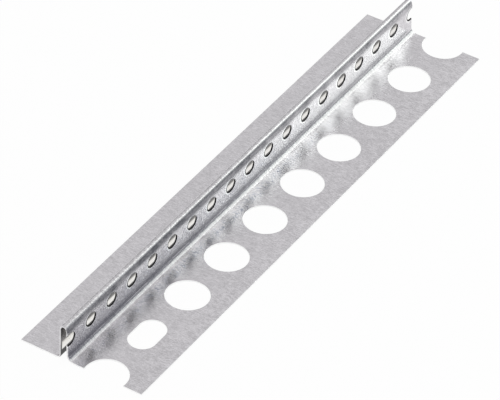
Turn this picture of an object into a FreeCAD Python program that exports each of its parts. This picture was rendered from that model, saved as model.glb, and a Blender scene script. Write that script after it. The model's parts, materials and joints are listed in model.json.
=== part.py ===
import FreeCAD, Part
import math
import os

# Shadow gap drywall bead: one strip of galvanised sheet, roll-formed to a narrow standing fold
# between two flanges that lie in one plane. The wide flange is punched for plaster, and the
# narrow one is plain. X runs across the strip, Y along it and Z up. The origin is under the
# middle of the strip, and the flanges lie on Z = 0. All sizes are in millimetres.

# Strip
length = 200.0
sheet = 0.5

# Section, measured on the faces that show
fold_height = 12.5
fold_width = 3.2
plain_flange = 13.8
punched_flange = 26.0
bend_radius = 1.0

# Large holes along the punched flange
large_hole_diameter = 14.0
large_hole_pitch = 22.0
large_hole_from_wall = 12.6
large_hole_from_end = 1.3

# Small holes along the wall above the punched flange, two to each large one
small_hole_diameter = 4.8
small_holes_per_large = 2
small_hole_height = 7.7
small_hole_from_end = 1.3

# Round-ended slot that takes the place of the second large hole
slot_place = 1
slot_length = 14.3
slot_width = 9.0

# Places worked out from the sizes above
overall_width = plain_flange + fold_width + punched_flange
plain_edge_x = -overall_width / 2
plain_wall_x = plain_edge_x + plain_flange
punched_wall_x = plain_wall_x + fold_width
punched_edge_x = overall_width / 2
front_y = -length / 2
large_hole_x = punched_wall_x + large_hole_from_wall
fold_radius = fold_width / 2
fold_centre_x = plain_wall_x + fold_radius
fold_centre_z = sheet + fold_height - fold_radius
bend_centre_z = sheet + bend_radius
punch_foot_z = -sheet
punch_height = 3 * sheet


def section_point(x, z):
    return FreeCAD.Vector(x, front_y, z)


def section_line(start, end):
    return Part.LineSegment(section_point(*start), section_point(*end)).toShape()


def section_arc(centre_x, centre_z, radius, start, end):
    """An arc of the section about a centre, from one angle to another in degrees."""
    points = []
    for angle in (start, (start + end) / 2, end):
        turn = math.radians(angle)
        points.append(section_point(centre_x + radius * math.cos(turn), centre_z + radius * math.sin(turn)))
    return Part.Arc(*points).toShape()


def sheet_side(depth):
    """The strip's line across the section, at a depth below the faces that show."""
    level = sheet - depth
    foot = bend_radius + depth
    left_x = plain_wall_x + depth
    right_x = punched_wall_x - depth
    left_bend_x = plain_wall_x - bend_radius
    right_bend_x = punched_wall_x + bend_radius
    return [
        section_line((plain_edge_x, level), (left_bend_x, level)),
        section_arc(left_bend_x, bend_centre_z, foot, -90, 0),
        section_line((left_x, bend_centre_z), (left_x, fold_centre_z)),
        section_arc(fold_centre_x, fold_centre_z, fold_radius - depth, 180, 0),
        section_line((right_x, fold_centre_z), (right_x, bend_centre_z)),
        section_arc(right_bend_x, bend_centre_z, foot, 180, 270),
        section_line((right_bend_x, level), (punched_edge_x, level)),
    ]


def folded_strip():
    """The strip with its bends, before any hole is punched."""
    edges = sheet_side(0) + sheet_side(sheet)
    for edge_x in (plain_edge_x, punched_edge_x):
        edges.append(section_line((edge_x, 0), (edge_x, sheet)))
    outline = Part.Wire(Part.__sortEdges__(edges))
    return Part.Face(outline).extrude(FreeCAD.Vector(0, length, 0))


def row_places(first, pitch, radius):
    """Places along the strip of a row of holes, with those that the two ends cut through."""
    count = math.floor((length + radius - first) / pitch) + 1
    return [front_y + first + index * pitch for index in range(count)]


def large_hole_places():
    return row_places(large_hole_from_end, large_hole_pitch, large_hole_diameter / 2)


def large_holes():
    """Round punches through the wide flange, without the one whose place the slot takes."""
    punches = []
    for index, y in enumerate(large_hole_places()):
        if index != slot_place:
            foot = FreeCAD.Vector(large_hole_x, y, punch_foot_z)
            punches.append(Part.makeCylinder(large_hole_diameter / 2, punch_height, foot))
    return punches


def long_slot():
    """Punch for the slot: a half-round end and a straight side, and the same again turned round."""
    end_radius = slot_width / 2
    half_straight = slot_length / 2 - end_radius
    centre = FreeCAD.Vector(large_hole_x, large_hole_places()[slot_place], punch_foot_z)
    edges = []
    for side in (-1, 1):
        start = centre + FreeCAD.Vector(-end_radius, half_straight, 0) * side
        tip = centre + FreeCAD.Vector(0, half_straight + end_radius, 0) * side
        end = centre + FreeCAD.Vector(end_radius, half_straight, 0) * side
        next_start = centre + FreeCAD.Vector(end_radius, -half_straight, 0) * side
        edges.append(Part.Arc(start, tip, end).toShape())
        edges.append(Part.LineSegment(end, next_start).toShape())
    return Part.Face(Part.Wire(edges)).extrude(FreeCAD.Vector(0, 0, punch_height))


def small_holes():
    """Round punches through the wall above the wide flange, clear of the wall behind it."""
    pitch = large_hole_pitch / small_holes_per_large
    z = sheet + small_hole_height
    gap = fold_width - 2 * sheet
    reach = sheet + gap
    punches = []
    for y in row_places(small_hole_from_end, pitch, small_hole_diameter / 2):
        foot = FreeCAD.Vector(punched_wall_x - sheet - gap / 2, y, z)
        punches.append(Part.makeCylinder(small_hole_diameter / 2, reach, foot, FreeCAD.Vector(1, 0, 0)))
    return punches


def bead_profile():
    return folded_strip().cut(large_holes() + small_holes() + [long_slot()]).removeSplitter()


os.makedirs("parts", exist_ok=True)
bead = bead_profile()
bead.exportStep("parts/bead_profile.step")
print("bead_profile", len(bead.Solids), "solid", round(bead.Volume, 1), "mm3", bead.isValid(), bead.BoundBox)
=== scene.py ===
import json
import math

import bpy
from mathutils import Matrix, Vector


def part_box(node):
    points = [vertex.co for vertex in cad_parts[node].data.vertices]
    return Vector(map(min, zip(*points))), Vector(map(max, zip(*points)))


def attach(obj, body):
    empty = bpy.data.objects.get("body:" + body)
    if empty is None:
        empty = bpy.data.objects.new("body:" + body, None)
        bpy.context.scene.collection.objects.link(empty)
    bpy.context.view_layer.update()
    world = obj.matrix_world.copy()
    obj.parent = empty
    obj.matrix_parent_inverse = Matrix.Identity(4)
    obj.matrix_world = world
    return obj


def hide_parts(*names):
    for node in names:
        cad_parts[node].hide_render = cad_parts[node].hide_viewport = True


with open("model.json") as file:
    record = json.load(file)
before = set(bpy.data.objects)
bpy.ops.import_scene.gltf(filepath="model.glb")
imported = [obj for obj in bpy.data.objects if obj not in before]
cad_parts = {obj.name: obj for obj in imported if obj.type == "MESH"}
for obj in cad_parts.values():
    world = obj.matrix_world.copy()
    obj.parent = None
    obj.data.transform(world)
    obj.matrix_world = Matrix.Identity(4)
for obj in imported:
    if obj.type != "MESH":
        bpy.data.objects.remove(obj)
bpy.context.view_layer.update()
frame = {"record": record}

# Shadow gap drywall bead: one strip of bright galvanised sheet with a narrow standing fold between
# two flanges. X runs across the strip, Y along it and Z up, in metres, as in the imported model.
MM = 0.001

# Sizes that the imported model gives
MOUNTS = {mount["name"]: mount for mount in frame["record"]["mounts"]}
LOW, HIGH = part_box("bead_profile")
LENGTH = HIGH.y - LOW.y
PUNCHED_WALL_X = MOUNTS["board_stop"]["pos_m"][0]
LARGE_HOLE_X = MOUNTS["fixing_hole_middle"]["pos_m"][0]
LARGE_HOLE_RADIUS = MOUNTS["fixing_hole_middle"]["dims"]["r_mm"] * MM
SHEET = MOUNTS["fixing_hole_middle"]["dims"]["length_mm"] * MM

# Fold and bends
FOLD_WIDTH = 3.2 * MM
BEND_RADIUS = 1.0 * MM
FOOT_RADIUS = 1.85 * MM
PLAIN_WALL_X = PUNCHED_WALL_X - FOLD_WIDTH
BEND_STEPS = 14

# Spring of the sheet beside the punched wall: the flange rises to its foot, and the wall leans in above
NEAR_REACH, NEAR_RISE = 1.9 * MM, math.radians(11.5)
FAR_REACH, FAR_RISE = 1.6 * MM, math.radians(1.7)
WALL_LEAN = math.radians(3.5)
WALL_LEAN_HEIGHT = 5.13 * MM
WALL_LEAN_IN = WALL_LEAN_HEIGHT * math.tan(WALL_LEAN)
WALL_TOP_X = PUNCHED_WALL_X - WALL_LEAN_IN

# Share of its side that each gentle bend takes up
SPRING_SHARE = 0.7
NEAR_BEND_SHARE = 0.24

# Side of the fold's top that leans back over the gap, from a height up, and how full the top is rounded
FOLD_LEAN = math.radians(18.0)
FOLD_LEAN_Z = HIGH.z - 1.8 * MM
FOLD_LEAN_BEND = 3.0 * MM
FOLD_TOP_SHARE = 0.99

# Rows of holes, with those that the two ends cut through
LARGE_HOLE_PITCH = 22.0 * MM
LARGE_HOLE_FIRST_Y = LOW.y + 1.3 * MM
LARGE_HOLE_COUNT = 10
LARGE_HOLE_SIDES = 144
SMALL_HOLE_LENGTH = 4.7 * MM
SMALL_HOLE_HEIGHT = 4.2 * MM
SMALL_HOLE_PITCH = LARGE_HOLE_PITCH / 2
SMALL_HOLE_FIRST_Y = LOW.y + 1.45 * MM
SMALL_HOLE_COUNT = 19
SMALL_HOLE_SIDES = 64
SMALL_HOLE_Z = SHEET + 7.5 * MM
SMALL_HOLE_SHOULDER = 0.2 * MM
SHOULDER_STEPS = 5
SHOULDER_TURN = math.radians(84.0)

# Round-ended slot in the second place of the large holes
SLOT_PLACE = 1
SLOT_LENGTH = 14.3 * MM
SLOT_WIDTH = 9.0 * MM
SLOT_SIDES = 96

# Rounding of the sheared edges, the least mark of a hole's edge, and how near corners are merged
EDGE_ROUNDING = 0.07 * MM
EDGE_STEPS = 2
SHEARED_ANGLE = math.radians(40.0)
HOLE_MARK = 0.1
PUNCHED_MERGE = 0.02 * MM
ROUNDED_MERGE = 0.002 * MM

# Colours of the finish, among them painted shade, painted shadow lines and a painted highlight
DARK_ZINC = (0.551, 0.536, 0.558, 1.0)
PALE_ZINC = (0.771, 0.752, 0.781, 1.0)
# Painted shade under the fold's top, a little on its top, and at the punched wall's foot
PAINTED_SHADE_ZINC = (0.155, 0.157, 0.175, 1.0)
# Painted shade with darker flecks on the flange beside the wall
FLECK_SHADE = (0.11, 0.14, 0.22, 1.0)
# Bare steel at sheared edges and cuts, painted near white as a highlight; also the holes' highlight ring
BARE_STEEL_HIGHLIGHT = (0.97, 0.97, 0.97, 1.0)
# Painted shadow line round each small hole, partly the dark cut steel of its rim
RIM_SHADE_LINE = (0.015, 0.015, 0.016, 1.0)
# Painted shade inside the fold, dark low down and high up, greyer between
HOLLOW_SHADE = (0.035, 0.033, 0.034, 1.0)
HOLLOW_HALF_SHADE = (0.22, 0.215, 0.225, 1.0)
PALE_INSIDE = (0.91, 0.895, 0.865, 1.0)

# Noises of the finish, the roughness and grain they change, and the depth of the fine lines
NOISE_DETAIL = 3.0
NOISE_ROUGHNESS = 0.55
NOISE_MIDDLE = 0.5
ZINC_ROUGHNESS = 0.2
MIDDLE_SHADE = 0.5
GRAIN_STRENGTH = 1.1
LINE_DEPTH = 0.03 * MM

# Marks of shearing and punching, and painted shade, highlights and shadow lines: how strong, and where
SHADE_BAND_STRENGTH = 0.84
SHEAR_STRENGTH = 0.9
HIGHLIGHT_RING_STRENGTH = 0.9
RIM_SHADE_STRENGTH = 0.98
RIM_SHADE_SHIFT = 0.25 * MM
LEAN_FADES_OVER = 1.3 * WALL_LEAN_HEIGHT

# Floor and light
WHITE = (1.0, 1.0, 1.0, 1.0)
FLOOR_HALF = 6.0
FLOOR_DROP = 0.02 * MM
FLOOR_MATT = (0.9, 0.9, 0.9, 1.0)
FLOOR_WHITE_SHARE = 0.96
LAMP_TINT = (0.933, 1.0, 0.911)
SURROUND_LEVEL = 0.79
RIGHT_CORNER, RIGHT_DIMMING = (0.743, 0.669, 0.0), 0.54
LEFT_CORNER, LEFT_DIMMING = (-0.743, 0.669, 0.0), 0.3
DIM_TONE = (0.89, 0.935, 1.05, 1.0)


class Wire:
    """One output of a node. An expression written with it adds Math nodes to its tree."""

    def __init__(self, tree, socket):
        self.tree = tree
        self.socket = socket

    def __add__(self, other):
        return self.tree.calculate("ADD", self, other)

    def __radd__(self, other):
        return self.tree.calculate("ADD", other, self)

    def __sub__(self, other):
        return self.tree.calculate("SUBTRACT", self, other)

    def __rsub__(self, other):
        return self.tree.calculate("SUBTRACT", other, self)

    def __mul__(self, other):
        return self.tree.calculate("MULTIPLY", self, other)

    def __rmul__(self, other):
        return self.tree.calculate("MULTIPLY", other, self)

    def __truediv__(self, other):
        return self.tree.calculate("DIVIDE", self, other)

    def __rtruediv__(self, other):
        return self.tree.calculate("DIVIDE", other, self)

    def __pow__(self, other):
        return self.tree.calculate("POWER", self, other)

    def __rpow__(self, other):
        return self.tree.calculate("POWER", other, self)

    def __neg__(self):
        return self.tree.calculate("MULTIPLY", self, -1.0)

    def __abs__(self):
        return self.tree.calculate("ABSOLUTE", self)

    def at_least(self, lowest):
        return self.tree.calculate("MAXIMUM", self, lowest)

    def at_most(self, highest):
        return self.tree.calculate("MINIMUM", self, highest)

    def step(self, low, high):
        """0 below the one value, 1 above the other and smooth between them."""
        return self.tree.node(
            "ShaderNodeMapRange",
            {"interpolation_type": "SMOOTHSTEP"},
            {"Value": self, "From Min": low, "From Max": high},
        )

    def fall(self, low, high):
        """1 below the one value, 0 above the other and smooth between them."""
        return 1.0 - self.step(low, high)

    def band(self, low, full, fading, gone):
        """1 between the two middle values, 0 outside the outer two and smooth between."""
        return self.step(low, full) * self.fall(fading, gone)


class Tree:
    """A node tree whose nodes are added by one method."""

    def __init__(self, group):
        self.group = group
        group.nodes.clear()

    def node(self, kind, settings=None, sockets=None, output=0):
        """Adds a node, with its settings first, and returns the wire of one of its outputs."""
        made = self.group.nodes.new(kind)
        for name, value in (settings or {}).items():
            setattr(made, name, value)
        for name, value in (sockets or {}).items():
            self.feed(self.find(made.inputs, name), value)
        if not made.outputs:
            return None
        return Wire(self, self.find(made.outputs, output))

    def feed(self, socket, value):
        """Sets a socket to a value, or links one wire or several to it."""
        for one in value if isinstance(value, list) else [value]:
            if isinstance(one, Wire):
                self.group.links.new(one.socket, socket)
            else:
                socket.default_value = one

    def find(self, sockets, name):
        """A socket that is in use, by its name or its place."""
        used = [socket for socket in sockets if socket.enabled]
        return used[name] if isinstance(name, int) else next(one for one in used if one.name == name)

    def calculate(self, operation, *values):
        return self.node("ShaderNodeMath", {"operation": operation}, dict(enumerate(values)))

    def vector(self, x=0.0, y=0.0, z=0.0):
        return self.node("ShaderNodeCombineXYZ", {}, {"X": x, "Y": y, "Z": z})

    def parts(self, vector):
        """The X, Y and Z of a vector."""
        return [self.node("ShaderNodeSeparateXYZ", {}, {0: vector}, axis) for axis in "XYZ"]

    def mix(self, factor, first, second):
        """A blend of two colours."""
        sockets = {"Factor": factor, "A": first, "B": second}
        return self.node("ShaderNodeMix", {"data_type": "RGBA"}, sockets)


# Geometry of the bead


def faces_that_show():
    """Corners of the section's upper side and the radius of the bend at each, from edge to edge."""
    fold_x = WALL_TOP_X - (HIGH.z - FOLD_LEAN_Z) * math.tan(FOLD_LEAN)
    fold = FOLD_TOP_SHARE * (fold_x - PLAIN_WALL_X) / (1.0 + math.tan(math.pi / 4 - FOLD_LEAN / 2))
    near_z = SHEET + FAR_REACH * math.tan(FAR_RISE)
    foot_z = near_z + NEAR_REACH * math.tan(NEAR_RISE)
    lean_bend = SPRING_SHARE * WALL_LEAN_HEIGHT / math.tan(WALL_LEAN / 2)
    near_bend = NEAR_BEND_SHARE * NEAR_REACH / math.tan((NEAR_RISE - FAR_RISE) / 2)
    far_bend = SPRING_SHARE * FAR_REACH / math.tan(FAR_RISE / 2)
    return [
        (LOW.x, SHEET, 0.0),
        (PLAIN_WALL_X, SHEET, BEND_RADIUS),
        (PLAIN_WALL_X, HIGH.z, fold),
        (fold_x, HIGH.z, fold),
        (WALL_TOP_X, FOLD_LEAN_Z, FOLD_LEAN_BEND),
        (WALL_TOP_X, foot_z + WALL_LEAN_HEIGHT, lean_bend),
        (PUNCHED_WALL_X, foot_z, FOOT_RADIUS),
        (PUNCHED_WALL_X + NEAR_REACH, near_z, near_bend),
        (PUNCHED_WALL_X + NEAR_REACH + FAR_REACH, SHEET, far_bend),
        (HIGH.x, SHEET, 0.0),
    ]


def sheet_behind(corners, depth):
    """The same corners one sheet thickness behind, with the bends' radii to suit."""
    behind = []
    for index, (x, z, bend) in enumerate(corners):
        place = Vector((x, z))
        before = Vector(corners[max(index - 1, 0)][:2])
        after = Vector(corners[min(index + 1, len(corners) - 1)][:2])
        ways = [way.normalized() for way in (place - before, after - place) if way.length > 0.0]
        sides = [Vector((way.y, -way.x)) for way in (ways[0], ways[-1])]
        mitre = (sides[0] + sides[1]) / (1.0 + sides[0].dot(sides[1]))
        turn = ways[0].cross(ways[-1])
        moved = place + mitre * depth
        behind.append((moved.x, moved.y, bend + math.copysign(depth, turn) if bend else 0.0))
    return behind


def section_mesh(material):
    """The section as a closed line of corners, which the tree rounds and draws out."""
    shown = faces_that_show()
    corners = shown + sheet_behind(shown, SHEET)[::-1]
    mesh = bpy.data.meshes.new("bead_section")
    edges = [(index, (index + 1) % len(corners)) for index in range(len(corners))]
    mesh.from_pydata([(x, 0.0, z) for x, z, bend in corners], edges, [])
    bends = mesh.attributes.new("bend", "FLOAT", "POINT")
    bends.data.foreach_set("value", [bend for x, z, bend in corners])
    mesh.materials.append(material)
    return mesh


BEAD_SIZES = {
    "Length": LENGTH,
    "Sheet": SHEET,
    "Wall X": WALL_TOP_X,
    "Bend steps": BEND_STEPS,
    "Large hole radius": LARGE_HOLE_RADIUS,
    "Large hole X": LARGE_HOLE_X,
    "Large hole first Y": LARGE_HOLE_FIRST_Y,
    "Large hole pitch": LARGE_HOLE_PITCH,
    "Large hole count": LARGE_HOLE_COUNT,
    "Slot place": SLOT_PLACE,
    "Slot length": SLOT_LENGTH,
    "Slot width": SLOT_WIDTH,
    "Small hole length": SMALL_HOLE_LENGTH,
    "Small hole height": SMALL_HOLE_HEIGHT,
    "Small hole Z": SMALL_HOLE_Z,
    "Small hole first Y": SMALL_HOLE_FIRST_Y,
    "Small hole pitch": SMALL_HOLE_PITCH,
    "Small hole count": SMALL_HOLE_COUNT,
    "Small hole shoulder": SMALL_HOLE_SHOULDER,
    "Edge rounding": EDGE_ROUNDING,
}


def bead_tree(material):
    """Rounds the section, draws it out along the strip and punches the rows of holes."""
    group = bpy.data.node_groups.new("folded_and_punched_strip", "GeometryNodeTree")
    group.interface.new_socket("Geometry", in_out="INPUT", socket_type="NodeSocketGeometry")
    for name, value in BEAD_SIZES.items():
        kind = "NodeSocketInt" if isinstance(value, int) else "NodeSocketFloat"
        group.interface.new_socket(name, in_out="INPUT", socket_type=kind)
    group.interface.new_socket("Geometry", in_out="OUTPUT", socket_type="NodeSocketGeometry")
    tree = Tree(group)
    size = {name: tree.node("NodeGroupInput", {}, {}, name) for name in ("Geometry", *BEAD_SIZES)}

    strip = drawn_strip(tree, size)
    holes = [
        marked_punches(tree, flange_punches(tree, size), "cut"),
        marked_punches(tree, wall_punches(tree, size), "rim"),
    ]
    punched = tree.node(
        "GeometryNodeMeshBoolean",
        {"operation": "DIFFERENCE", "solver": "MANIFOLD"},
        {"Mesh 1": strip, "Mesh 2": holes},
    )
    merged = tree.node("GeometryNodeMergeByDistance", {}, {0: punched, "Distance": PUNCHED_MERGE})
    clean = tree.node("GeometryNodeRemoveAttribute", {}, {0: merged, "Name": "bend"})
    real = tree.node("GeometryNodeRealizeInstances", {}, {0: marked_edges(tree, clean)})
    finished = tree.node("GeometryNodeSetMaterial", {}, {0: real, "Material": material})
    tree.node("NodeGroupOutput", {}, {0: finished})
    return group


def drawn_strip(tree, size):
    """The rounded section drawn out along Y, closed at both ends."""
    line = tree.node("GeometryNodeMeshToCurve", {}, {0: size["Geometry"]})
    bend = tree.node("GeometryNodeInputNamedAttribute", {"data_type": "FLOAT"}, {"Name": "bend"})
    rounded = tree.node(
        "GeometryNodeFilletCurve",
        {"mode": "POLY"},
        {0: line, "Count": size["Bend steps"], "Radius": bend},
    )
    upright = tree.node("GeometryNodeTransform", {}, {0: rounded, "Rotation": (math.pi / 2, 0.0, 0.0)})
    half = size["Length"] / 2
    path = tree.node(
        "GeometryNodeCurvePrimitiveLine",
        {"mode": "POINTS"},
        {"Start": tree.vector(y=-half), "End": tree.vector(y=half)},
    )
    return tree.node("GeometryNodeCurveToMesh", {}, {0: path, 1: upright, "Fill Caps": True})


def row_of_points(tree, count, start, pitch):
    return tree.node(
        "GeometryNodeMeshLine",
        {"mode": "OFFSET"},
        {"Count": count, "Start Location": start, "Offset": tree.vector(y=pitch)},
    )


def punch(tree, size, across, along, shoulder, sides, straight=0.0):
    """An upright punch that widens where it enters the sheet, which rounds the hole's rim.

    Its outline is an oval across X and along Y, parted in the middle where it has straight sides.
    """
    levels = SHOULDER_STEPS + 2
    plain = tree.node(
        "GeometryNodeMeshCylinder",
        {},
        {"Vertices": sides, "Side Segments": levels, "Radius": 1.0, "Depth": levels},
    )
    half_step = (0.0, 0.0, math.pi / sides)
    turned = tree.node("GeometryNodeTransform", {}, {0: plain, "Rotation": half_step})
    x, y, z = tree.parts(tree.node("GeometryNodeInputPosition"))
    level = z + levels / 2
    below = (1.0 - level).at_least(0.0)
    above = (level - (levels - 1)).at_least(0.0)
    turn = (level - 1.0).at_least(0.0).at_most(SHOULDER_STEPS) * (SHOULDER_TURN / SHOULDER_STEPS)
    flare = shoulder * (1.0 - tree.calculate("COSINE", turn))
    entry = size["Sheet"] / 2 - shoulder + shoulder * tree.calculate("SINE", turn)
    shaped = tree.vector(
        x * (across / 2 + flare),
        y * (along / 2 + flare) + tree.calculate("SIGN", y) * (straight / 2),
        entry + (above - below) * size["Sheet"],
    )
    return tree.node("GeometryNodeSetPosition", {}, {0: turned, "Position": shaped})


def flange_punches(tree, size):
    """The large holes and, in its place among them, the slot."""
    start = tree.vector(size["Large hole X"], size["Large hole first Y"], size["Sheet"] / 2)
    row = row_of_points(tree, size["Large hole count"], start, size["Large hole pitch"])
    at_slot = tree.node(
        "FunctionNodeCompare",
        {"data_type": "INT", "operation": "EQUAL"},
        {"A": tree.node("GeometryNodeInputIndex"), "B": size["Slot place"]},
    )
    at_hole = tree.node("FunctionNodeBooleanMath", {"operation": "NOT"}, {0: at_slot})
    shoulder = size["Edge rounding"]
    wide = size["Large hole radius"] * 2
    narrow = size["Slot width"]
    straight = size["Slot length"] - narrow
    shapes = (
        (at_hole, punch(tree, size, wide, wide, shoulder, LARGE_HOLE_SIDES)),
        (at_slot, punch(tree, size, narrow, narrow, shoulder, SLOT_SIDES, straight)),
    )
    return [
        tree.node(
            "GeometryNodeInstanceOnPoints",
            {},
            {"Points": row, "Selection": place, "Instance": shape},
        )
        for place, shape in shapes
    ]


def wall_punches(tree, size):
    """The small holes, through the wall above the punched flange only."""
    middle_x = size["Wall X"] - size["Sheet"] / 2
    start = tree.vector(middle_x, size["Small hole first Y"], size["Small hole Z"])
    row = row_of_points(tree, size["Small hole count"], start, size["Small hole pitch"])
    shape = punch(
        tree,
        size,
        size["Small hole height"],
        size["Small hole length"],
        size["Small hole shoulder"],
        SMALL_HOLE_SIDES,
    )
    sideways = tree.node("FunctionNodeEulerToRotation", {}, {0: (0.0, math.pi / 2, 0.0)})
    return tree.node(
        "GeometryNodeInstanceOnPoints",
        {},
        {"Points": row, "Instance": shape, "Rotation": sideways},
    )


def marked_punches(tree, rows, mark):
    """Rows of punches as one mesh, whose faces carry a mark over to the holes that they leave."""
    joined = tree.node("GeometryNodeJoinGeometry", {}, {0: rows})
    real = tree.node("GeometryNodeRealizeInstances", {}, {0: joined})
    return tree.node(
        "GeometryNodeStoreNamedAttribute",
        {"data_type": "FLOAT", "domain": "FACE"},
        {0: real, "Name": mark, "Value": 1.0},
    )


def marked_edges(tree, mesh):
    """Marks the strip's own sheared edges for rounding, and keeps the holes' edges sharp."""
    angle = tree.node("GeometryNodeInputMeshEdgeAngle")
    rim, cut = (
        tree.node("GeometryNodeInputNamedAttribute", {"data_type": "FLOAT"}, {"Name": name})
        for name in ("rim", "cut")
    )
    sheared = tree.calculate("GREATER_THAN", angle, SHEARED_ANGLE)
    at_hole = tree.calculate("GREATER_THAN", rim + cut, HOLE_MARK)
    marked = tree.node(
        "GeometryNodeStoreNamedAttribute",
        {"data_type": "FLOAT", "domain": "EDGE"},
        {0: mesh, "Name": "bevel_weight_edge", "Value": sheared * (1.0 - at_hole)},
    )
    smooth = tree.node("GeometryNodeSetShadeSmooth", {}, {0: marked})
    return tree.node(
        "GeometryNodeSetShadeSmooth",
        {"domain": "EDGE"},
        {0: smooth, "Selection": sheared * at_hole, "Shade Smooth": False},
    )


def bead_sheet(material):
    """The whole bead: the tree's mesh, with its sheared edges rounded."""
    group = bead_tree(material)
    maker = bpy.data.objects.new("bead_maker", section_mesh(material))
    bpy.context.scene.collection.objects.link(maker)
    nodes = maker.modifiers.new("folded_and_punched_strip", "NODES")
    nodes.node_group = group
    for socket in group.interface.items_tree:
        if socket.in_out == "INPUT" and socket.name in BEAD_SIZES:
            nodes[socket.identifier] = BEAD_SIZES[socket.name]
    bevel = maker.modifiers.new("edge_rounding", "BEVEL")
    bevel.width = EDGE_ROUNDING
    bevel.segments = EDGE_STEPS
    bevel.limit_method = "WEIGHT"
    bevel.use_clamp_overlap = False
    weld = maker.modifiers.new("merged_corners", "WELD")
    weld.merge_threshold = ROUNDED_MERGE
    normals = maker.modifiers.new("flat_faces", "WEIGHTED_NORMAL")
    normals.keep_sharp = True
    ready = maker.evaluated_get(bpy.context.evaluated_depsgraph_get())
    mesh = bpy.data.meshes.new_from_object(ready)
    mesh.name = "bead_sheet"
    mesh.materials.clear()
    mesh.materials.append(material)
    mesh.polygons.foreach_set("material_index", [0] * len(mesh.polygons))
    bpy.data.objects.remove(maker)
    piece = bpy.data.objects.new("bead_sheet", mesh)
    bpy.context.scene.collection.objects.link(piece)
    return piece


# Finish of the sheet


class Finish(Tree):
    """The sheet's material: its tree, the place on the piece, the punches' marks and the noises."""

    def __init__(self, material):
        material.use_nodes = True
        super().__init__(material.node_tree)
        self.place = self.node("ShaderNodeTexCoord", {}, {}, "Object")
        self.x, self.y, self.z = self.parts(self.place)
        self.cut, self.rim = (self.mark(name) for name in ("cut", "rim"))

        self.lines = self.noise((500.0, 2400.0, 500.0))
        self.fine_lines = self.noise((900.0, 3800.0, 900.0))
        self.mottle = self.noise((420.0, 420.0, 420.0), 4.0)
        self.speckle = self.noise((1500.0, 1500.0, 1500.0), 2.0)
        self.grit = self.noise((3000.0, 3000.0, 3000.0), 1.0)
        self.patches = self.noise((70.0, 40.0, 70.0), 2.0)
        self.scuff = self.noise((160.0, 160.0, 160.0))

        self.near_end = self.y.fall(0.0, 70.0 * MM)
        self.on_flange = self.z.fall(0.7 * MM, 1.0 * MM)
        self.upright = self.z.step(2.0 * MM, 4.0 * MM)
        self.from_foot = self.x - PUNCHED_WALL_X
        self.foot = self.from_foot.band(0.42 * MM, 0.72 * MM, 0.8 * MM, 1.4 * MM)
        lean = (1.0 - (self.z - SHEET) / LEAN_FADES_OVER).at_least(0.0) * WALL_LEAN_IN
        self.behind_wall = WALL_TOP_X + lean - self.x

    def mark(self, name):
        settings = {"attribute_type": "GEOMETRY", "attribute_name": name}
        return self.node("ShaderNodeAttribute", settings, {}, "Fac")

    def noise(self, scale, detail=NOISE_DETAIL):
        mapped = self.node("ShaderNodeMapping", {}, {"Vector": self.place, "Scale": scale})
        return self.node(
            "ShaderNodeTexNoise",
            {"noise_dimensions": "3D"},
            {"Vector": mapped, "Scale": 1.0, "Detail": detail, "Roughness": NOISE_ROUGHNESS},
        )


def swing(noise):
    """A noise's swing about its middle."""
    return noise - NOISE_MIDDLE


def zinc_colour(sheet):
    """Zinc with fine lines across the strip, stronger beside the wall and towards the punched edge."""
    x, upright = sheet.x, sheet.upright
    wall_start = x.step(WALL_TOP_X - 0.5 * MM, WALL_TOP_X - 0.2 * MM)
    by_wall = wall_start * x.fall(PUNCHED_WALL_X + 3.0 * MM, PUNCHED_WALL_X + 7.0 * MM)
    grain = (
        swing(sheet.lines) * (1.2 - upright * 0.6)
        + swing(sheet.fine_lines) * 1.5
        + swing(sheet.grit) * 0.8
        + swing(sheet.mottle) * 0.8
        + swing(sheet.speckle) * (0.6 + upright * (0.8 + sheet.near_end * 3.2))
    )
    strength = GRAIN_STRENGTH + by_wall * 0.35 + x.step(8.0 * MM, 18.0 * MM) * 0.4
    shade = MIDDLE_SHADE + grain * strength + swing(sheet.patches) * 0.4
    return sheet.mix(shade, DARK_ZINC, PALE_ZINC)


def inside_of_fold(sheet):
    """Mask of the faces inside the fold, down to the back of the bend at the plain wall's foot."""
    x, z = sheet.x, sheet.z
    between_walls = (
        x.step(PLAIN_WALL_X + 0.5 * SHEET, PLAIN_WALL_X + 0.9 * SHEET)
        * sheet.behind_wall.step(0.5 * SHEET, 0.9 * SHEET)
        * z.fall(HIGH.z - 1.4 * MM, HIGH.z - 1.0 * MM)
    )
    bend_x = x - (PLAIN_WALL_X - BEND_RADIUS)
    bend_z = z - (SHEET + BEND_RADIUS)
    from_bend = (bend_x * bend_x + bend_z * bend_z) ** 0.5
    under_bend = (
        from_bend.step(BEND_RADIUS + 0.5 * SHEET, BEND_RADIUS + 0.8 * SHEET)
        * bend_x.band(0.3 * MM, 0.6 * MM, BEND_RADIUS + SHEET, BEND_RADIUS + 2.0 * SHEET)
        * z.fall(SHEET + BEND_RADIUS, SHEET + BEND_RADIUS + 0.2 * MM)
    )
    return (between_walls + under_bend).at_most(1.0)


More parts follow.
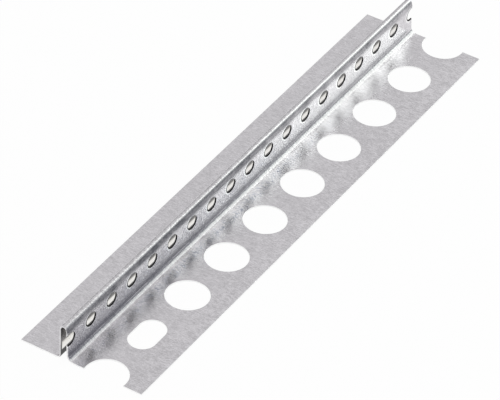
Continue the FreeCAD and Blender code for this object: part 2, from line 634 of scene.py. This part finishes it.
def fold_inside_colour(sheet):
    """Inside of the fold: painted shade, dark and greyer partway up, with a pale band behind the small
    holes.
    """
    x, y, z = sheet.x, sheet.y, sheet.z
    level = z - y.fall(LOW.y + 5.0 * MM, LOW.y + 9.0 * MM) * (0.8 * MM)
    past_end = y.step(LOW.y + 0.3 * MM, LOW.y + 1.0 * MM)
    low_band = z.step(3.0 * MM, 3.6 * MM) * level.fall(4.7 * MM, 5.9 * MM) * past_end
    high_band = z.step(7.6 * MM, 8.4 * MM) * y.step(-30.0 * MM, 80.0 * MM)
    gap_middle = (PLAIN_WALL_X + WALL_TOP_X) / 2
    on_punched_wall = x.step(gap_middle - 0.2 * MM, gap_middle + 0.2 * MM)
    hollow_shade = sheet.mix(z.band(5.0 * MM, 6.5 * MM, 7.0 * MM, 11.5 * MM), HOLLOW_SHADE, HOLLOW_HALF_SHADE)
    return sheet.mix((low_band + high_band + on_punched_wall).at_most(1.0), hollow_shade, PALE_INSIDE)


def small_hole_marks(sheet):
    """Masks of a painted highlight on each small hole's near side and a painted shadow line round it."""
    x, y, z = sheet.x, sheet.y, sheet.z
    from_first = y - (SMALL_HOLE_FIRST_Y - SMALL_HOLE_PITCH / 2)
    along = sheet.calculate("FLOORED_MODULO", from_first, SMALL_HOLE_PITCH)
    from_row = along - (SMALL_HOLE_PITCH / 2 - RIM_SHADE_SHIFT)
    from_height = z - SMALL_HOLE_Z
    stretched = from_height * (SMALL_HOLE_LENGTH / SMALL_HOLE_HEIGHT)
    from_edge = (from_row * from_row + stretched * stretched) ** 0.5 - SMALL_HOLE_LENGTH / 2
    wall_depth = x.step(WALL_TOP_X - SHEET, WALL_TOP_X - 0.8 * SHEET)
    above_foot = x.fall(WALL_TOP_X + 0.6 * MM, WALL_TOP_X + 0.8 * MM)
    on_wall = sheet.behind_wall.fall(0.25 * SHEET, 0.4 * SHEET) * wall_depth * above_foot
    highlight_ring = from_edge.band(0.25 * MM, 0.45 * MM, 0.7 * MM, 1.0 * MM) * on_wall
    near_side = from_row.fall(-1.0 * MM, 0.5 * MM)
    ring = from_edge.fall(0.2 * MM, 0.36 * MM) * on_wall
    lip = sheet.rim * sheet.behind_wall.fall(0.6 * SHEET, 0.95 * SHEET)
    low_lip = lip * from_height.fall(0.4 * MM, 1.4 * MM)
    return highlight_ring * near_side * HIGHLIGHT_RING_STRENGTH, (ring + low_lip).at_most(1.0) * RIM_SHADE_STRENGTH


def sheared_edges(sheet):
    """Mask of the strip's sheared ends and sides, bare steel with a painted highlight, weaker up the fold.
    """
    ends = abs(sheet.y).step(LENGTH / 2 - 0.06 * MM, LENGTH / 2 - 0.03 * MM)
    sides = abs(sheet.x).step(HIGH.x - 0.06 * MM, HIGH.x - 0.03 * MM)
    return (ends + sides).at_most(1.0) * (SHEAR_STRENGTH - sheet.z.step(0.5 * MM, 0.8 * MM) * 0.55)


def painted_shade_band(sheet):
    """Mask of the band of painted shade along the side of the fold, under its top."""
    y, z = sheet.y, sheet.z
    wavering = swing(sheet.speckle) * 1.1 + swing(sheet.scuff) * 1.2
    strength = SHADE_BAND_STRENGTH - y.step(-60.0 * MM, 50.0 * MM) * 0.42 + wavering
    level = z - y.step(LOW.y + 20.0 * MM, LOW.y + 90.0 * MM) * (0.45 * MM)
    lean_back = (z - FOLD_LEAN_Z).at_least(0.0) * math.tan(FOLD_LEAN)
    on_side = (sheet.behind_wall - lean_back).fall(0.5 * SHEET, 0.8 * SHEET)
    return z.step(9.4 * MM, 11.4 * MM) * level.fall(12.1 * MM, 12.6 * MM) * on_side * strength


def top_of_fold(sheet):
    """Mask of the fold's rounded top."""
    from_plain_wall = sheet.x.step(PLAIN_WALL_X - 0.2 * MM, PLAIN_WALL_X)
    to_punched_wall = sheet.x.fall(WALL_TOP_X + 0.3 * MM, WALL_TOP_X + 0.5 * MM)
    return sheet.z.step(HIGH.z - 1.3 * MM, HIGH.z - 0.7 * MM) * from_plain_wall * to_punched_wall


def foot_shade(sheet):
    """Mask of painted shade along the punched wall's foot, and a little higher at the front."""
    low_wall = sheet.z.band(1.2 * MM, 1.7 * MM, 2.0 * MM, 2.8 * MM)
    at_front = sheet.y.fall(-60.0 * MM, -10.0 * MM)
    from_wall = sheet.x.step(WALL_TOP_X, PUNCHED_WALL_X - 0.2 * MM)
    return (sheet.foot * 0.14 + low_wall * at_front * 0.1) * from_wall


def shade_flecks_beside_wall(sheet):
    """Mask of painted shade, with flecks, on the flange beside the wall in the front part of the strip."""
    y = sheet.y
    flecks = swing(sheet.grit) * 2.4 + swing(sheet.fine_lines) * 1.6 + swing(sheet.lines) * 2.2
    level = y.step(-100.0 * MM, -50.0 * MM) * 0.22 - 0.14 - y.step(-20.0 * MM, 60.0 * MM) * 0.1
    beside_wall = sheet.from_foot.band(1.0 * MM, 3.0 * MM, 4.0 * MM, 6.5 * MM)
    return ((level + flecks * sheet.near_end) * beside_wall).at_least(0.0).at_most(1.0)


def sheet_roughness(sheet, shade_band, fold_top):
    beside_wall = sheet.from_foot.band(1.0 * MM, 2.0 * MM, 5.0 * MM, 8.0 * MM)
    return (
        ZINC_ROUGHNESS
        + swing(sheet.mottle) * 0.1
        + swing(sheet.lines) * 0.08
        + sheet.rim * 0.15
        + sheet.cut * 0.2
        + shade_band * 0.16
        + fold_top * 0.16
        + sheet.foot * 0.2
        + beside_wall * 0.05
        + (1.0 - sheet.near_end) * (0.04 + sheet.on_flange * 0.04)
    )


def sheet_relief(sheet):
    """Height of the fine lines, calmer on the flange at the front and everywhere at the far end."""
    y, upright = sheet.y, sheet.upright
    calm = sheet.on_flange * y.fall(-80.0 * MM, 20.0 * MM)
    strength = 1.0 - y.step(0.0, 80.0 * MM) * 0.6 - calm * 0.65
    relief = (
        sheet.lines * (1.0 - upright * 0.6)
        + sheet.fine_lines * (1.6 - sheet.z.step(0.9 * MM, 1.6 * MM))
        + sheet.mottle * 0.3
        + sheet.speckle * (upright * 0.5)
    )
    return strength * relief


def galvanised_sheet():
    """Bright zinc with the marks of shearing and punching, and painted shade, highlights and shadow lines.
    """
    material = bpy.data.materials.new("bright_zinc_sheet")
    sheet = Finish(material)
    shade_band = painted_shade_band(sheet)
    fold_top = top_of_fold(sheet)
    highlight_ring, dark = small_hole_marks(sheet)
    # Bare steel at sheared edges and cuts, painted near white as a highlight, and the holes' highlight
    # rings
    bare_and_highlight = sheet.cut + highlight_ring + sheared_edges(sheet)
    # Painted shade along the fold, a little on the fold's top, and along the punched wall's foot
    painted_shade = shade_band.at_least(0.0) + fold_top * 0.04 + foot_shade(sheet)
    # Inside the fold: painted shade, with pale bands behind the small holes
    colour = sheet.mix(inside_of_fold(sheet), zinc_colour(sheet), fold_inside_colour(sheet))
    colour = sheet.mix(bare_and_highlight.at_most(1.0), colour, BARE_STEEL_HIGHLIGHT)
    colour = sheet.mix(painted_shade.at_most(1.0), colour, PAINTED_SHADE_ZINC)
    # Painted shade with darker flecks on the flange beside the wall, towards the front
    colour = sheet.mix(shade_flecks_beside_wall(sheet), colour, FLECK_SHADE)
    # Painted shadow line round each small hole
    colour = sheet.mix(dark, colour, RIM_SHADE_LINE)
    bump = sheet.node(
        "ShaderNodeBump",
        {},
        {"Strength": 1.0, "Distance": LINE_DEPTH, "Height": sheet_relief(sheet)},
    )
    shader = sheet.node(
        "ShaderNodeBsdfPrincipled",
        {},
        {
            "Base Color": colour,
            "Metallic": 1.0 - dark * 0.8,
            "Specular IOR Level": 0.0,
            "Roughness": sheet_roughness(sheet, shade_band, fold_top),
            "Normal": bump,
        },
    )
    sheet.node("ShaderNodeOutputMaterial", {}, {"Surface": shader})
    return material


# Floor, light and camera


def pale_floor():
    """A floor that is white to the eye and in reflections, and keeps the bead's shadow."""
    material = bpy.data.materials.new("pale_floor")
    material.use_nodes = True
    tree = Tree(material.node_tree)
    camera_ray, glossy_ray, transmission_ray = (
        tree.node("ShaderNodeLightPath", {}, {}, name)
        for name in ("Is Camera Ray", "Is Glossy Ray", "Is Transmission Ray")
    )
    seen = (camera_ray + glossy_ray + transmission_ray).at_most(1.0)
    matt = tree.node("ShaderNodeBsdfDiffuse", {}, {"Color": FLOOR_MATT})
    white = tree.node("ShaderNodeEmission", {}, {"Color": WHITE, "Strength": 1.0})
    mixed = tree.node("ShaderNodeMixShader", {}, {0: seen * FLOOR_WHITE_SHARE, 1: matt, 2: white})
    tree.node("ShaderNodeOutputMaterial", {}, {"Surface": mixed})
    mesh = bpy.data.meshes.new("floor")
    sides = ((-1, -1), (1, -1), (1, 1), (-1, 1))
    mesh.from_pydata([(x * FLOOR_HALF, y * FLOOR_HALF, 0.0) for x, y in sides], [], [(0, 1, 2, 3)])
    mesh.materials.append(material)
    floor = bpy.data.objects.new("floor", mesh)
    floor.location.z = LOW.z - FLOOR_DROP
    bpy.context.scene.collection.objects.link(floor)


def softbox(name, place, aim, width, height, radiance):
    lamp = bpy.data.lights.new(name, "AREA")
    lamp.shape = "ELLIPSE"
    lamp.size = width
    lamp.size_y = height
    lamp.energy = radiance * math.pi * width * height
    lamp.color = LAMP_TINT
    holder = bpy.data.objects.new(name, lamp)
    holder.location = place
    holder.rotation_euler = (Vector(aim) - Vector(place)).to_track_quat("-Z", "Y").to_euler()
    bpy.context.scene.collection.objects.link(holder)


def studio_light():
    """Two softboxes behind the bead, in pale surroundings that are dimmer at the back's two corners."""
    world = bpy.context.scene.world or bpy.data.worlds.new("studio")
    bpy.context.scene.world = world
    world.use_nodes = True
    tree = Tree(world.node_tree)
    around = tree.node("ShaderNodeTexCoord", {}, {}, "Generated")
    direction = tree.node("ShaderNodeVectorMath", {"operation": "NORMALIZE"}, {0: around})
    right, left = (
        tree.node("ShaderNodeVectorMath", {"operation": "DOT_PRODUCT"}, {0: direction, 1: corner}, "Value")
        for corner in (RIGHT_CORNER, LEFT_CORNER)
    )
    dim = right.step(0.7, 0.88)
    level = SURROUND_LEVEL - RIGHT_DIMMING * dim - LEFT_DIMMING * left.step(0.84, 0.95)
    tone = tree.mix(dim, WHITE, DIM_TONE)
    surround = tree.node("ShaderNodeBackground", {}, {"Color": tone, "Strength": level})
    tree.node("ShaderNodeOutputWorld", {}, {"Surface": surround})
    softbox(
        "back_softbox",
        place=(0.2, 0.58, 0.42),
        aim=(0.2, 0.0, 0.42),
        width=0.48,
        height=0.38,
        radiance=2.1,
    )
    softbox(
        "side_softbox",
        place=(0.46, 0.58, 0.24),
        aim=(0.0, 0.1, 0.0),
        width=0.2,
        height=0.3,
        radiance=0.76,
    )


def camera():
    """A long lens from the front, above the punched flange."""
    aim = Vector((-1.28 * MM, -4.64 * MM, -0.1 * MM))
    distance = 1.19623
    azimuth, elevation, roll = (math.radians(angle) for angle in (30.67, 38.93, 2.708))
    back = Vector((
        math.sin(azimuth) * math.cos(elevation),
        -math.cos(azimuth) * math.cos(elevation),
        math.sin(elevation),
    ))
    lens = bpy.data.cameras.new("camera")
    lens.sensor_fit = "HORIZONTAL"
    lens.sensor_width = 36.0
    lens.lens = 276.08
    lens.clip_start = 0.05
    lens.clip_end = 50.0
    holder = bpy.data.objects.new("camera", lens)
    turn = (-back).to_track_quat("-Z", "Y").to_matrix() @ Matrix.Rotation(roll, 3, "Z")
    holder.matrix_world = Matrix.Translation(aim + back * distance) @ turn.to_4x4()
    bpy.context.scene.collection.objects.link(holder)
    bpy.context.scene.camera = holder


bead = bead_sheet(galvanised_sheet())
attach(bead, "root")
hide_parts("bead_profile")

pale_floor()
studio_light()
camera()
bpy.context.scene.view_settings.view_transform = "Standard"

bpy.context.view_layer.update()
